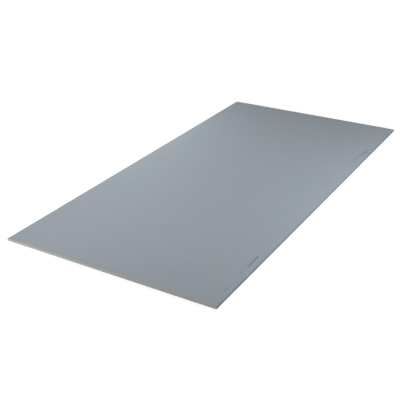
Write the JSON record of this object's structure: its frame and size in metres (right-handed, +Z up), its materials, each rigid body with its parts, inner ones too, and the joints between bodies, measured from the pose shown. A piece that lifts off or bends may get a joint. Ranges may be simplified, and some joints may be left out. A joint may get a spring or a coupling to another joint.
{
  "type": "drywall sheet",
  "caption": "Flat rectangular gypsum wallboard with tapered, paper-wrapped long edges and square cut ends, for lining walls and ceilings.",
  "frame": {"origin": "middle of the back paper's underside, where the sheet lies", "axes": "+X along the sheet's length, +Y across its width, +Z up out of the face"},
  "size_m": [2.4384, 1.2192, 0.0127],
  "materials": {
    "gypsum": "matt, chalky cast gypsum, cream white",
    "face_paper": "smooth matt blue-grey wallboard paper",
    "back_paper": "coarse matt brown-grey recycled liner"
  },
  "bodies": {
    "root": {"gypsum_core": "gypsum", "face_paper": "face_paper", "back_paper": "back_paper"}
  },
  "joints": []
}
